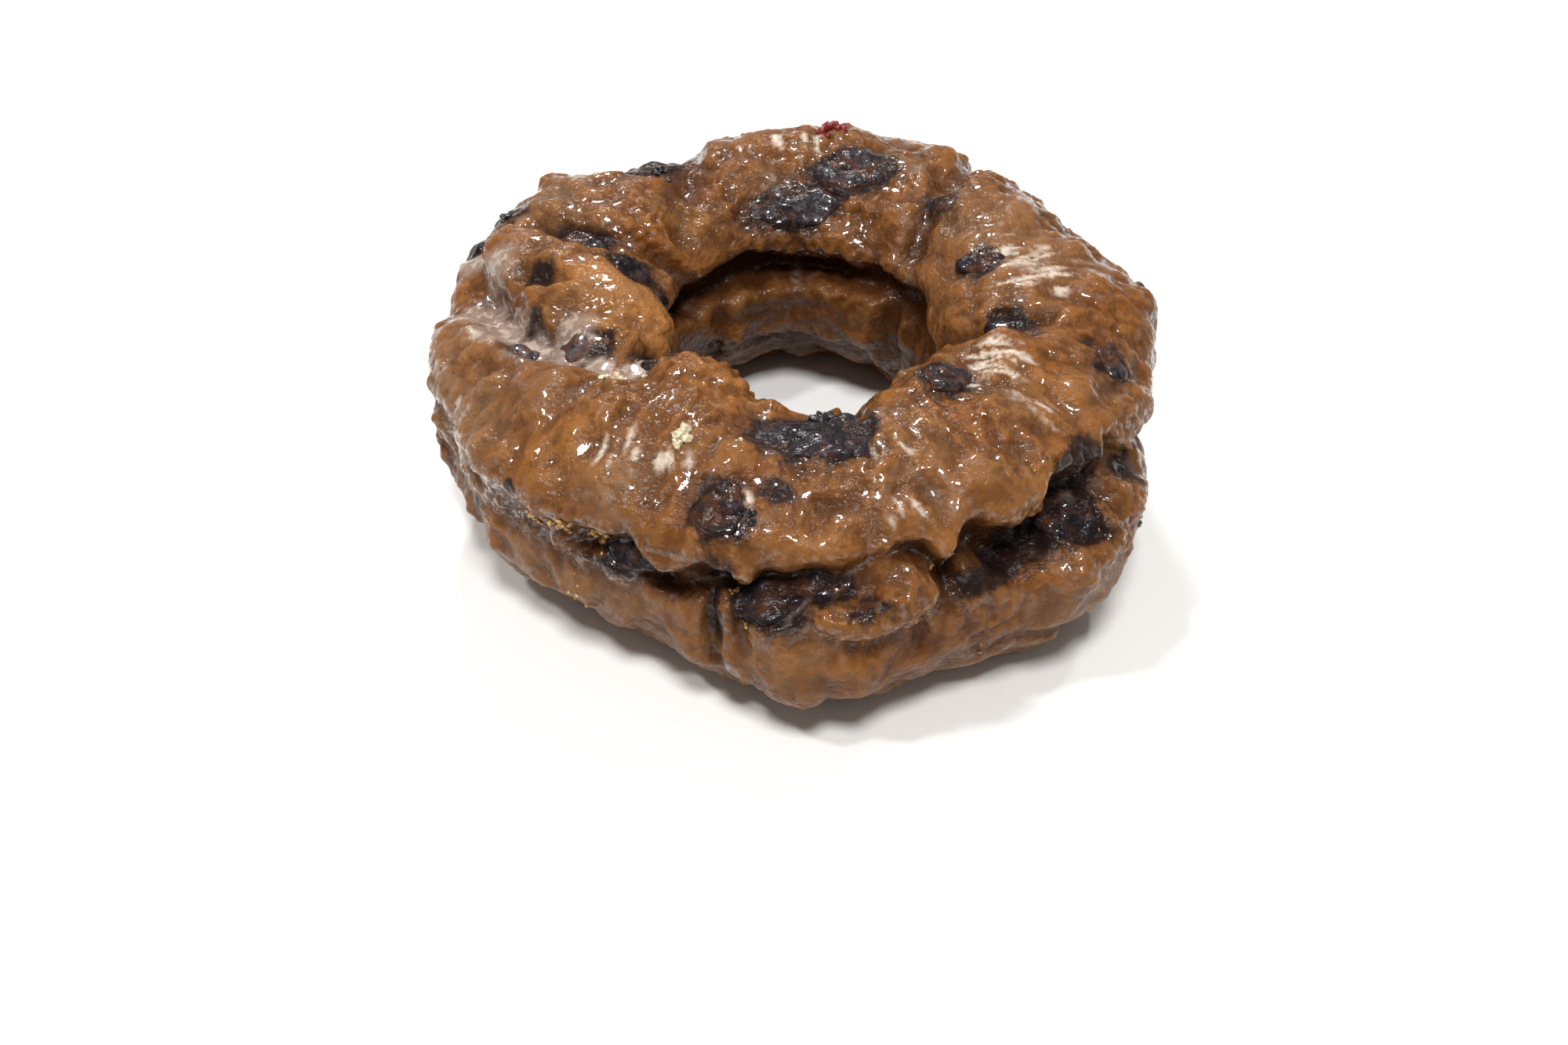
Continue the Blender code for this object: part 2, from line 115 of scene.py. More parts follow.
# Berry juice
STAINED = [
    (266, 71, 0.0026, 0.0018, 0.8), (177, 87, 0.0026, 0.0024, 0.8), (257.5, 6, 0.0016, 0.0070, 1.0),
    (258, 36, 0.0028, 0.0040, 0.7), (300, 20, 0.0080, 0.0028, 0.8), (280, 24, 0.0040, 0.0018, 0.7),
    (191, 84, 0.0030, 0.0018, 0.9), (209, 1, 0.0014, 0.0012, 0.9), (318, 40, 0.0052, 0.0052, 1.2),
    (332, 26, 0.0040, 0.0030, 0.8), (268, 20, 0.0030, 0.0020, 0.8), (308, 24, 0.0050, 0.0024, 0.9),
    (345, 70, 0.0020, 0.0020, 0.5), (222, 38, 0.0012, 0.0010, 0.8), (300, 96, 0.0040, 0.0026, 0.4),
    (82, 112, 0.0060, 0.0050, 0.6), (262, 92, 0.0030, 0.0026, 0.5), (288, 84, 0.0030, 0.0030, 0.35),
    (259, -22, 0.0022, 0.0018, 0.6), (224, 122, 0.0040, 0.0024, 0.6), (240, 20, 0.0050, 0.0018, 0.8),
]
# Crust that the fat browned least
AMBER = [
    (262, 30, 0.0016, 0.0026, 1.0), (291, 42, 0.0022, 0.0022, 0.6), (194, 126, 0.0056, 0.0070, 1.0),
    (180, 110, 0.0040, 0.0060, 0.8), (290, 104, 0.0034, 0.0026, 0.6), (228, 62, 0.0060, 0.0050, 0.4),
    (310, 46, 0.0040, 0.0030, 0.5), (270, 46, 0.0060, 0.0030, 0.4), (326, 70, 0.0050, 0.0060, 0.4),
    (206, 28, 0.0016, 0.0022, 0.8), (96, 196, 0.0040, 0.0020, 0.6), (270, 0, 0.0060, 0.0040, 0.5),
    (245, 120, 0.0040, 0.0030, 0.6), (233, 26, 0.0030, 0.0012, 0.8), (130, 118, 0.0030, 0.0030, 0.6),
]
# Rough, torn crumb
CRUMBLY = [
    (240, 124, 0.0050, 0.0040, 1.0), (262, 121, 0.0040, 0.0020, 0.8), (309, 118, 0.0060, 0.0030, 0.9),
    (232, 30, 0.0060, 0.0030, 0.7), (262, 28, 0.0020, 0.0030, 1.0), (310, 34, 0.0080, 0.0024, 0.7),
    (319, 24, 0.0040, 0.0020, 0.8), (281, 22, 0.0050, 0.0024, 0.6), (200, 50, 0.0060, 0.0040, 0.5),
    (113, 100, 0.0040, 0.0060, 0.6), (60, 90, 0.0040, 0.0060, 0.4), (90, 124, 0.0100, 0.0050, 0.7),
    (90, 90, 0.0100, 0.0050, 0.5), (262, 14, 0.0030, 0.0030, 0.6), (100, 40, 0.0200, 0.0050, 0.4),
]
# Crust that stayed smooth
SMOOTH_CRUST = [
    (248, -8, 0.0090, 0.0050, 0.8), (222, -10, 0.0100, 0.0050, 0.7), (302, 6, 0.0070, 0.0024, 0.8),
    (250, 37, 0.0034, 0.0024, 0.7), (290, 104, 0.0034, 0.0026, 0.7), (316, -14, 0.0080, 0.0050, 0.5),
    (8, 96, 0.0070, 0.0060, 0.6), (190, 62, 0.0040, 0.0050, 0.5), (274, -24, 0.0100, 0.0040, 0.6),
    (203, 46, 0.0070, 0.0090, 0.7), (226, 62, 0.0050, 0.0060, 0.5), (186, 112, 0.0050, 0.0080, 0.5),
]
# Crust under a pale film of glaze
FILMED = [
    (205, 30, 0.0100, 0.0110, 1.0), (190, 40, 0.0060, 0.0090, 0.8), (232, -6, 0.0160, 0.0060, 0.7),
    (238, 62, 0.0040, 0.0060, 0.6), (326, 34, 0.0100, 0.0030, 0.6), (318, -14, 0.0120, 0.0050, 0.6),
    (254, 20, 0.0040, 0.0080, 0.5), (20, 96, 0.0120, 0.0080, 0.7), (290, 60, 0.0100, 0.0040, 0.4),
    (150, 60, 0.0100, 0.0080, 0.6),
]
# Burst bubbles: round the ring, round the section, radius and depth
PITS = [
    (281.7, 25, 0.0006, 0.0008), (228, 30, 0.0005, 0.0006), (207, 3, 0.0006, 0.0006),
    (316, 108, 0.0005, 0.0006),
]


def new_object(name, shape):
    """An object of this shape, which is then freed."""
    mesh = bpy.data.meshes.new(name)
    shape.to_mesh(mesh)
    shape.free()
    obj = bpy.data.objects.new(name, mesh)
    bpy.context.scene.collection.objects.link(obj)
    return obj


def solid_shape(node):
    """The CAD solid's shape, its doubled points made one."""
    shape = bmesh.new()
    shape.from_mesh(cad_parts[node].data)
    bmesh.ops.remove_doubles(shape, verts=shape.verts[:], dist=1e-6)
    return shape


def way_out(points):
    """The middle of a berry's points, its direction away from the dough's core, and how high the crust is."""
    middle = points.mean(0)
    turn = math.atan2(middle[1], middle[0])
    core = np.array([RING_RADIUS * math.cos(turn), RING_RADIUS * math.sin(turn), MID_HEIGHT])
    out = (middle - core) / np.linalg.norm(middle - core)
    return middle, out, ((points - middle) @ out).max() - BERRY_PROUD


def widened(points, spread, above):
    """A berry's points moved out sideways, with what stands above the crust cut to a share of its height."""
    middle, out, level = way_out(points)
    height = (points - middle) @ out
    flat = points - middle - height[:, None] * out
    width = np.linalg.norm(flat, axis=1)
    height = np.where(height > level, level + (height - level) * above, height) - spread * width / CRUST_CURVE
    return middle + flat * (1.0 + spread / np.maximum(width, 0.001))[:, None] + height[:, None] * out


def apply_modifiers(obj):
    """Puts what the modifiers make into the mesh."""
    bpy.context.view_layer.update()
    made = bpy.data.meshes.new_from_object(obj.evaluated_get(bpy.context.evaluated_depsgraph_get()))
    obj.modifiers.clear()
    obj.data = made


def even_skin(obj, step, smoothing):
    """The same solid in even small faces, its facets smoothed away."""
    remesh = obj.modifiers.new("even skin", "REMESH")
    remesh.mode = "VOXEL"
    remesh.voxel_size = step
    smooth = obj.modifiers.new("no facets", "SMOOTH")
    smooth.factor = 0.5
    smooth.iterations = smoothing
    apply_modifiers(obj)
    obj.data.shade_smooth()


def spread_over(mesh, values, rounds):
    """Each point's values averaged with its neighbours', this many times."""
    ends = np.empty(len(mesh.edges) * 2, np.int32)
    mesh.edges.foreach_get("vertices", ends)
    first, second = ends[::2], ends[1::2]
    count = np.bincount(ends, minlength=len(mesh.vertices)) + 1.0
    for _ in range(rounds):
        total = values.copy()
        for column in range(values.shape[1]):
            total[:, column] += np.bincount(first, values[second, column], len(total))
            total[:, column] += np.bincount(second, values[first, column], len(total))
        values = total / count[:, None]
    return values


def points_of(mesh):
    """Where the mesh's points are."""
    points = np.empty(len(mesh.vertices) * 3, np.float32)
    mesh.vertices.foreach_get("co", points)
    return points.reshape(-1, 3).astype(float)


def normals_of(mesh):
    """Which way the mesh faces at its points."""
    normals = np.empty(len(mesh.vertices) * 3, np.float32)
    mesh.vertex_normals.foreach_get("vector", normals)
    return normals.reshape(-1, 3).astype(float)


def set_points(mesh, points):
    """Moves the mesh's points to these places."""
    mesh.vertices.foreach_set("co", points.astype(np.float32).ravel())
    mesh.update()


def set_attribute(mesh, name, values):
    """Values at the mesh's points, which its material reads by this name."""
    made = mesh.attributes.new(name, "FLOAT", "POINT")
    made.data.foreach_set("value", np.clip(values, 0.0, 1.0).astype(np.float32))


def lumps(points, size, seed):
    """Smooth random values from about -1 to 1, in lumps of this size."""
    shift = Vector((seed, 3.7 * seed, -seed))
    return np.array([noise.noise(point + shift) for point in map(Vector, points / size)])


def cells(points, size, seed):
    """Rounded domes with creases between them: 1 at a dome's middle, near 0 in the creases."""
    shift = Vector((seed, -seed, 2.3 * seed))
    near = np.array([noise.voronoi(point + shift)[0][0] for point in map(Vector, points / size)])
    return 1.0 - np.clip(near, 0.0, 1.0)


def off_core(points):
    """How far out from and how far above the circle in the middle of the dough points lie."""
    return np.hypot(points[:, 0], points[:, 1]) - RING_RADIUS, points[:, 2] - MID_HEIGHT


def ring_angles(points):
    """Degrees round the ring, and round the section from -130 (underside) through 0 (outer side) to 230."""
    outward, upward = off_core(points)
    around = np.degrees(np.arctan2(points[:, 1], points[:, 0]))
    section = np.degrees(np.arctan2(upward, outward))
    return around, np.where(section < -130.0, section + 360.0, section)


def turned_by(around, start):
    """Degrees from the starting angle to these angles, the short way round."""
    return np.mod(around - start + 180.0, 360.0) - 180.0


def drawn_out(around, section, width, length):
    """Places on the crust for random values that are this wide round the ring and this long across it."""
    turn = np.radians(around)
    return np.stack([np.cos(turn) * RING_RADIUS / width, np.sin(turn) * RING_RADIUS / width,
                     np.radians(section) * HALF_HEIGHT / length], -1)


def patches(around, section, listed):
    """The strongest of the listed soft-edged oval patches at each point."""
    found = np.zeros_like(around)
    for at_around, at_section, half_length, half_width, strength in listed:
        across = math.radians(1.0) * (RING_RADIUS + HALF_WIDTH * math.cos(math.radians(at_section)))
        x = turned_by(around, at_around) * across / half_length
        y = (section - at_section) * math.radians(1.0) * HALF_HEIGHT / half_width
        found = np.maximum(found, strength * np.exp(-((x**2 + y**2) ** 1.5)))
    return found


def search_tree(points):
    """A tree that finds the nearest of these points."""
    tree = kdtree.KDTree(len(points))
    for index, point in enumerate(points):
        tree.insert(point, index)
    tree.balance()
    return tree


# The dough with its berries' sockets filled level with the crust
berry_names = sorted(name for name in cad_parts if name.startswith("berry"))
filled = solid_shape("dough")
plugs = bmesh.new()
for name in berry_names:
    plug = solid_shape(name)
    points = np.array([vertex.co[:] for vertex in plug.verts])
    for vertex, point in zip(plug.verts, widened(points, PLUG_SPREAD, 0.0)):
        vertex.co = point
    mesh = bpy.data.meshes.new("plug")
    plug.to_mesh(mesh)
    plug.free()
    filled.from_mesh(mesh)
    plugs.from_mesh(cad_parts[name].data)
bmesh.ops.subdivide_edges(plugs, edges=plugs.edges[:], cuts=4, use_grid_fill=True)
berry_tree = search_tree([vertex.co[:] for vertex in plugs.verts])
plugs.free()


def off_berries(points):
    """Distance from each point to the nearest berry."""
    return np.array([berry_tree.find(point)[2] for point in points])


crust = new_object("crust_skin", filled)
even_skin(crust, SKIN_STEP, FACET_SMOOTHING)
points = points_of(crust.data)
normals = normals_of(crust.data)
around, section = ring_angles(points)

# Relief: wrinkles down the sides, lumps and crumb where the crust is rough, torn crumb along sharp edges
convex = ((points - spread_over(crust.data, points, CURVE_SMOOTHING)) * normals).sum(1) / SHARP_EDGE
milky = patches(around, section, MILKY)
wrinkles = 1.0 - 2.0 * np.abs(lumps(drawn_out(around, section, WRINKLE_WIDTH, WRINKLE_LENGTH), 1.0, 9))
wrinkles = wrinkles * np.clip(1.4 + 2.0 * np.cos(np.radians(section)), 0.1, 1.0)
rough = np.clip(0.45 + 1.1 * lumps(points, ROUGH_PATCH_SIZE, 2) + patches(around, section, CRUMBLY), 0.0, 1.6)
rough *= 1.0 - 0.85 * np.maximum(milky, patches(around, section, SMOOTH_CRUST))
relief = SWELL_HEIGHT * lumps(points, SWELL_SIZE, 1) + WRINKLE_HEIGHT * wrinkles * (1.0 - milky)
relief += rough * LUMP_HEIGHT * (cells(points, LUMP_SIZE, 3) - CREASE_LEVEL)
relief += rough * CRUMB_HEIGHT * (cells(points, CRUMB_SIZE, 6) - CREASE_LEVEL)
relief += (0.25 + 0.75 * rough) * GRAIN_HEIGHT * lumps(points, GRAIN_SIZE, 4)
relief += np.clip(convex, 0.0, 1.5) * TORN_HEIGHT * lumps(points, TORN_SIZE, 8) * (0.4 + 0.6 * rough)
relief += POOL_HEIGHT * patches(around, section, MILKY[:8])
at_berry = np.clip(1.0 - off_berries(points) / BERRY_MARGIN, 0.0, 1.0)
relief = relief * (1.0 - 0.6 * at_berry) - MARGIN_DEPTH * at_berry
for at_around, at_section, radius, depth in PITS:
    relief -= depth * patches(around, section, [(at_around, at_section, radius, radius, 1.0)])
relief *= np.clip((points[:, 2] - FLAT_BELOW) / FLAT_FADE, 0.0, 1.0)
set_points(crust.data, points + normals * relief[:, None])
fewer = crust.modifiers.new("fewer faces", "DECIMATE")
fewer.ratio = MOST_TRIANGLES / sum(len(face.vertices) - 2 for face in crust.data.polygons)
apply_modifiers(crust)
set_points(crust.data, np.clip(points_of(crust.data), *np.array(cad_box)))

# What the material reads at each point
points = points_of(crust.data)
normals = normals_of(crust.data)
around, section = ring_angles(points)
outward, upward = off_core(points)
filmed = patches(around, section, FILMED)
# Painted light and shade of the relief: crests are lit, creases are shaded
painted_relief_shading = ((points - spread_over(crust.data, points, RELIEF_SHADING_SMOOTHING)) * normals).sum(1)
pale = np.maximum((1.0 - points[:, 2] / PALE_BELOW) * (outward > 0.0), 0.75 * filmed)
glossy = np.clip((section + 5.0) / 20.0, 0.0, 1.0) * np.clip((165.0 - section) / 20.0, 0.15, 1.0)

# Thin milky veins, and white streaks that slant across the ring, partly glaze and partly painted reflection
off_vein = np.abs(lumps(drawn_out(around, section, VEIN_WIDTH, VEIN_LENGTH), 1.0, 14))
veins = np.clip(1.0 - off_vein / 0.10, 0.0, 1.0)
veins *= np.clip(lumps(points, VEIN_PATCH_SIZE, 15) * 2.2 + 0.15 + 1.2 * filmed, 0.0, 1.0)
ring_run = np.radians(around) * RING_RADIUS
section_run = np.radians(section) * HALF_HEIGHT
slanted = np.stack([(ring_run + STREAK_SLANT * section_run) / STREAK_WIDTH,
                    (section_run - STREAK_SLANT * ring_run) / STREAK_LENGTH, np.zeros_like(around)], -1)
streak_and_reflection_patches = patches(around, section, STREAKS_AND_PAINTED_REFLECTIONS)
streaks_and_painted_reflection = np.clip(lumps(slanted, 1.0, 18) * 4.0 + 2.6 * streak_and_reflection_patches - 2.2, 0.0, 1.0)
streaks_and_painted_reflection = streaks_and_painted_reflection * np.clip(3.0 * streak_and_reflection_patches, 0.0, 1.0)

# Depth below a plain full section, less what the whole base is set in by at that angle: painted shade that
# darkens recesses and the split under the cap
c, s = np.abs(np.cos(np.radians(section))), np.abs(np.sin(np.radians(section)))
plain_reach = ((c / HALF_WIDTH) ** FULLNESS + (s / HALF_HEIGHT) ** FULLNESS) ** (-1.0 / FULLNESS)
depth = plain_reach - np.hypot(outward, upward)
stations = np.arange(-180.0, 181.0, STATION_STEP)
on_base = (section > -35.0) & (section < 5.0)
inset = [np.median(depth[on_base & (np.abs(turned_by(around, station)) < STATION_REACH)])
         for station in stations]
painted_recess_shade = depth - np.interp(around, stations, inset) * np.clip((25.0 - section) / 20.0, 0.0, 1.0)

set_attribute(crust.data, "milky", patches(around, section, MILKY))
set_attribute(crust.data, "stained", patches(around, section, STAINED))
set_attribute(crust.data, "near_berry", 1.0 - np.clip(off_berries(points) / JUICE_REACH, 0.0, 1.0))
set_attribute(crust.data, "amber", patches(around, section, AMBER))
set_attribute(crust.data, "painted_recess_shade", painted_recess_shade / RECESS_SHADE_DEPTH)
set_attribute(crust.data, "glossy", glossy)
set_attribute(crust.data, "painted_relief_shading", 0.5 + painted_relief_shading / RELIEF_SHADING_RANGE)
set_attribute(crust.data, "pale", pale)
set_attribute(crust.data, "veins", veins)
set_attribute(crust.data, "streaks_and_painted_reflection", streaks_and_painted_reflection)


class Wire:
    """A shader socket that Python arithmetic works on."""

    def __init__(self, paint, socket):
        self.paint = paint
        self.socket = socket

    def maths(self, operation, *others, swapped=False):
        """A Math node on this value and others."""
        values = (*others, self) if swapped else (self, *others)
        return self.paint.node("ShaderNodeMath", {"operation": operation}, *values)

    def __add__(self, other):
        return self.maths("ADD", other)

    def __sub__(self, other):
        return self.maths("SUBTRACT", other)

    def __mul__(self, other):
        return self.maths("MULTIPLY", other)

    def __radd__(self, other):
        return self.maths("ADD", other, swapped=True)

    def __rsub__(self, other):
        return self.maths("SUBTRACT", other, swapped=True)

    def __rmul__(self, other):
        return self.maths("MULTIPLY", other, swapped=True)

    def clipped(self):
        return self.paint.node("ShaderNodeClamp", {}, self)

    def greater_of(self, other):
        return self.maths("MAXIMUM", other)

    def step(self, low, high):
        """0 up to low, 1 from high, and smooth between."""
        return self.paint.node("ShaderNodeMapRange", {"interpolation_type": "SMOOTHSTEP"}, self, low, high)


class Paint:
    """A procedural material on a Principled shader."""

    def __init__(self, name, colour, **fixed):
        self.material = bpy.data.materials.new(name)
        self.material.use_nodes = True
        self.material.diffuse_color = (*colour, 1.0)
        self.tree = self.material.node_tree
        self.shader = self.tree.nodes["Principled BSDF"]
        for key, value in fixed.items():
            socket = key.replace("_", " ").title().replace("Ior", "IOR")
            self.shader.inputs[socket].default_value = value
        self.place = self.node("ShaderNodeTexCoord", {}, output="Object")

    def node(self, kind, settings, *inputs, output=0, **named):
        """A node with these settings, then these inputs, and one of its outputs."""
        made = self.tree.nodes.new(kind)
        for key, value in settings.items():
            setattr(made, key, value)
        for key, value in (*enumerate(inputs), *named.items()):
            self.fill(made.inputs[key], value)
        return Wire(self, made.outputs[output])

    def fill(self, socket, value):
        """Links a wire to the socket, or puts a plain value into it."""
        if isinstance(value, Wire):
            self.tree.links.new(value.socket, socket)
        else:
            socket.default_value = value

    def noise(self, size, detail=3.0, roughness=0.55):
        """Smooth random values round 0.5, in lumps of this size."""
        return self.node("ShaderNodeTexNoise", {}, Vector=self.place, Scale=1.0 / size, Detail=detail,
                         Roughness=roughness)

    def attribute(self, name):
        """The mesh's values of this name."""
        return self.node("ShaderNodeAttribute", {"attribute_name": name}, output="Fac")

    def mix(self, share, first, second):
        """A colour between two colours."""
        made = self.tree.nodes.new("ShaderNodeMix")
        made.data_type = "RGBA"
        for key, value in ((0, share), (6, first), (7, second)):
            self.fill(made.inputs[key], (*value, 1.0) if isinstance(value, tuple) else value)
        return Wire(self, made.outputs[2])

    def drive(self, name, wire):
        """Lets the wire set one of the shader's inputs."""
        self.tree.links.new(wire.socket, self.shader.inputs[name])

    def bump(self, height, distance):
        """Fine relief of this height, in shading only."""
        self.drive("Normal", self.node("ShaderNodeBump", {}, Strength=0.8, Distance=distance, Height=height))


# Gold is also painted light where it lies on the crests
GOLD_CRUST_AND_PAINTED_LIGHT = (0.31, 0.130, 0.034)
AMBER_CRUST = (0.165, 0.056, 0.010)
TAN_CRUST = (0.130, 0.055, 0.019)
BROWN_CRUST = (0.078, 0.024, 0.007)
# Painted shade, darkening creases and recesses
PAINTED_SHADE_BROWN = (0.036, 0.011, 0.004)
MILK_FILM = (0.27, 0.195, 0.155)
# This white is also a painted reflection where it lies in streaks
WHITE_FILM_AND_REFLECTION = (0.66, 0.56, 0.46)
TAN_FILM = (0.25, 0.145, 0.075)
JUICE_STAIN = (0.040, 0.019, 0.012)
BERRY_JUICE = (0.010, 0.006, 0.007)
BROAD_BROWNING, MIDDLING_BROWNING, FINE_BROWNING = 0.0085, 0.0036, 0.0011
FILM_PATCH_SIZE = 0.0050
POOL_EDGE_SIZE = 0.0022
SPECKLE_SIZE = 0.0009
FINE_GRAIN_SIZE, COARSE_GRAIN_SIZE, SHADED_GRAIN_HEIGHT = 0.00080, 0.0020, 0.00035


def paint_crust():
    """Fried crumb in patches of amber to dark brown, under a wet film that is milky in the hollows, with
    painted light gold on the crests, painted shade in the creases and recesses, and white streaks that are
    partly painted reflection.
    """
    paint = Paint("glazed crust", TAN_CRUST, subsurface_weight=0.25, subsurface_scale=0.0014,
                  subsurface_radius=(1.0, 0.42, 0.16), coat_roughness=0.06, coat_ior=1.5,
                  specular_ior_level=0.12)
    painted_relief_shading = paint.attribute("painted_relief_shading")
    broad = paint.noise(BROAD_BROWNING)
    middling = paint.noise(MIDDLING_BROWNING)
    fine = paint.noise(FINE_BROWNING, roughness=0.6)
    colour = paint.mix(broad.step(0.36, 0.62), TAN_CRUST, AMBER_CRUST)
    colour = paint.mix(middling.step(0.34, 0.84) * 0.65, colour, BROWN_CRUST)
    colour = paint.mix(paint.attribute("amber") * (0.5 + broad * 0.9), colour, GOLD_CRUST_AND_PAINTED_LIGHT)
    # Painted light on the crests, lit gold, and painted shade in the creases, darkened
    colour = paint.mix(painted_relief_shading.step(0.55, 0.95) * 0.35, colour, GOLD_CRUST_AND_PAINTED_LIGHT)
    colour = paint.mix((0.5 - painted_relief_shading).step(0.02, 0.45) * 0.40, colour, PAINTED_SHADE_BROWN)
    colour = paint.mix(fine.step(0.45, 0.72) * 0.30, colour, BROWN_CRUST)
    colour = paint.mix((0.5 - fine).step(0.02, 0.20) * 0.08, colour, TAN_FILM)
    thin_film = paint.noise(FILM_PATCH_SIZE, 5.0, 0.65).step(0.52, 0.74)
    film = (thin_film * 0.15 + paint.attribute("pale") * 0.65).clipped()
    colour = paint.mix(film * fine.step(0.20, 0.60), colour, TAN_FILM)
    # Painted shade: the crust darkened in recesses and in the split under the cap
    colour = paint.mix(paint.attribute("painted_recess_shade") * 0.85, colour, PAINTED_SHADE_BROWN)
    blotches = (middling - 0.5) * 1.2 + (fine - 0.5) * 0.8
    near_berry = paint.attribute("near_berry")
    colour = paint.mix((near_berry + blotches * 0.9 - 0.45).step(0.0, 0.40) * 0.60, colour, JUICE_STAIN)
    juice = (paint.attribute("stained") * 1.1 + blotches * 0.8 - 0.35).step(0.0, 0.40)
    juice = juice.greater_of((near_berry * 1.2 + blotches * 0.8 - 0.82).step(0.0, 0.30))
    colour = paint.mix(juice * 0.90, colour, BERRY_JUICE)
    colour = paint.mix(paint.attribute("veins") * fine.step(0.30, 0.60) * 0.35, colour, MILK_FILM)
    # White streaks, partly glaze and partly a painted reflection of the lights
    streaks_and_painted_reflection = paint.attribute("streaks_and_painted_reflection") * fine.step(0.30, 0.50)
    colour = paint.mix(streaks_and_painted_reflection * 0.80, colour, WHITE_FILM_AND_REFLECTION)
    pool_edge = (paint.noise(POOL_EDGE_SIZE, 4.0) - 0.5) * 1.4
    pool = (paint.attribute("milky") * 1.3 + pool_edge - 0.22).step(0.05, 0.85)
    colour = paint.mix(pool * 0.80, colour, paint.mix(fine.step(0.50, 0.62) * 0.45, MILK_FILM, WHITE_FILM_AND_REFLECTION))
    paint.drive("Base Color", colour)
    paint.drive("Roughness", 0.20 + broad.step(0.40, 0.62) * 0.12)
    speckle = paint.noise(SPECKLE_SIZE, roughness=0.6).step(0.52, 0.56) * paint.attribute("glossy")
    paint.drive("Coat Weight", (speckle * (1.0 - juice * 0.4) + pool * 0.4).clipped())
    grain = paint.noise(FINE_GRAIN_SIZE, 2.0) + paint.noise(COARSE_GRAIN_SIZE, 2.0) * 1.6
    paint.bump(grain * (1.0 - pool * 0.6), SHADED_GRAIN_HEIGHT)
    return paint.material


crust.data.materials.append(paint_crust())
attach(crust, "root")
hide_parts("dough")

# Berries. Whole berries stirred into the batter, which burst and shrivelled as the crust fried round them.
# Their skin is wet and nearly black, with a dull bloom where the glaze has dried on it.
BERRY_STEP = 0.00028
BERRY_SMOOTHING = 3
BERRY_SPREAD = 0.0008
BERRY_ABOVE = 0.45
RAGGED_SIZE = 0.0023
CRINKLE_SIZE, CRINKLE_HEIGHT = 0.0028, 0.00070
FOLD_SIZE, FOLD_HEIGHT = 0.0021, 0.00045
COVERED_BELOW = 0.0005
BLOTCH_SIZE, SKIN_GRAIN_SIZE, WET_SPOT_SIZE, SHADED_SKIN_HEIGHT = 0.0022, 0.0007, 0.0010, 0.00030
# How dull each skin is, where it isn't the usual
USUAL_BLOOM = 0.05
BLOOM = {
    "berry_back_top": 0.35, "berry_back_inner": 0.35, "berry_right_rim": 0.35, "berry_left_rim": 0.35,
    "berry_front_top": 0.15, "berry_back_left": 0.15, "berry_left_pool": 0.9, "berry_left_pool_outer": 0.8,
    "berry_right_top": 0.4,
}
# How much more or less of each skin the crust's colour covers
COVERED = {
    "berry_front_face": 0.30, "berry_right_rim": 0.05, "berry_right_edge": 0.30, "berry_right_top": 0.20,
    "berry_left_pool": 0.20, "berry_left_crest": 0.15, "berry_front_split": -0.30,
    "berry_right_split": -0.30, "berry_front_top": -0.30, "berry_left_split": -0.20,
}
SKIN_DARK = (0.007, 0.005, 0.006)
SKIN_PURPLE = (0.020, 0.012, 0.018)
SKIN_BLOOM = (0.100, 0.080, 0.082)


def paint_berry():
    """Dark skin with purple and grey bloom, under the crust's colour where it lies level."""
    paint = Paint("berry skin", SKIN_DARK, coat_roughness=0.06, coat_ior=1.5, specular_ior_level=0.15)
    blotch = paint.noise(BLOTCH_SIZE, 4.0, 0.6)
    fine = paint.noise(SKIN_GRAIN_SIZE, 4.0, 0.62)
    colour = paint.mix(blotch.step(0.42, 0.68), SKIN_DARK, SKIN_PURPLE)
    haze = (paint.attribute("bloom") * fine.step(0.30, 0.70) + blotch.step(0.56, 0.75) * 0.10).clipped()
    colour = paint.mix(haze, colour, SKIN_BLOOM)
    covered = (paint.attribute("level") + (blotch - 0.5) * 2.0).step(0.15, 1.0)
    colour = paint.mix(covered * 0.85, colour, paint.mix(fine.step(0.35, 0.65), JUICE_STAIN, BROWN_CRUST))
    paint.drive("Base Color", colour)
    paint.drive("Roughness", 0.20 + haze * 0.30)
    paint.drive("Coat Weight", paint.noise(WET_SPOT_SIZE, roughness=0.6).step(0.52, 0.57) * 0.9)
    paint.bump(paint.noise(WET_SPOT_SIZE, 2.0) + blotch * 1.6, SHADED_SKIN_HEIGHT)
    return paint.material


berry_material = paint_berry()
skin_points = points_of(crust.data)
skin_normals = normals_of(crust.data)
skin_tree = search_tree(skin_points)
for number, name in enumerate(berry_names):
    berry = new_object(name + "_skin", solid_shape(name))
    even_skin(berry, BERRY_STEP, BERRY_SMOOTHING)
    points = points_of(berry.data)
    ragged = 0.6 + 1.2 * lumps(points, RAGGED_SIZE, 40 + number)
    points = widened(points, BERRY_SPREAD * ragged, BERRY_ABOVE)
    crinkle = CRINKLE_HEIGHT * lumps(points, CRINKLE_SIZE, 20 + number)
    crinkle = crinkle + FOLD_HEIGHT * (cells(points, FOLD_SIZE, number) - 0.50)
    points = np.clip(points + normals_of(berry.data) * crinkle[:, None], *np.array(cad_box))
    set_points(berry.data, points)
    nearest = [skin_tree.find(point)[1] for point in points]
    standing = ((points - skin_points[nearest]) * skin_normals[nearest]).sum(1)
    set_attribute(berry.data, "level", 1.0 - standing / COVERED_BELOW + COVERED.get(name, 0.0))
    set_attribute(berry.data, "bloom", np.full(len(points), BLOOM.get(name, USUAL_BLOOM)))
    berry.data.materials.append(berry_material)
    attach(berry, "root")
    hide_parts(name)

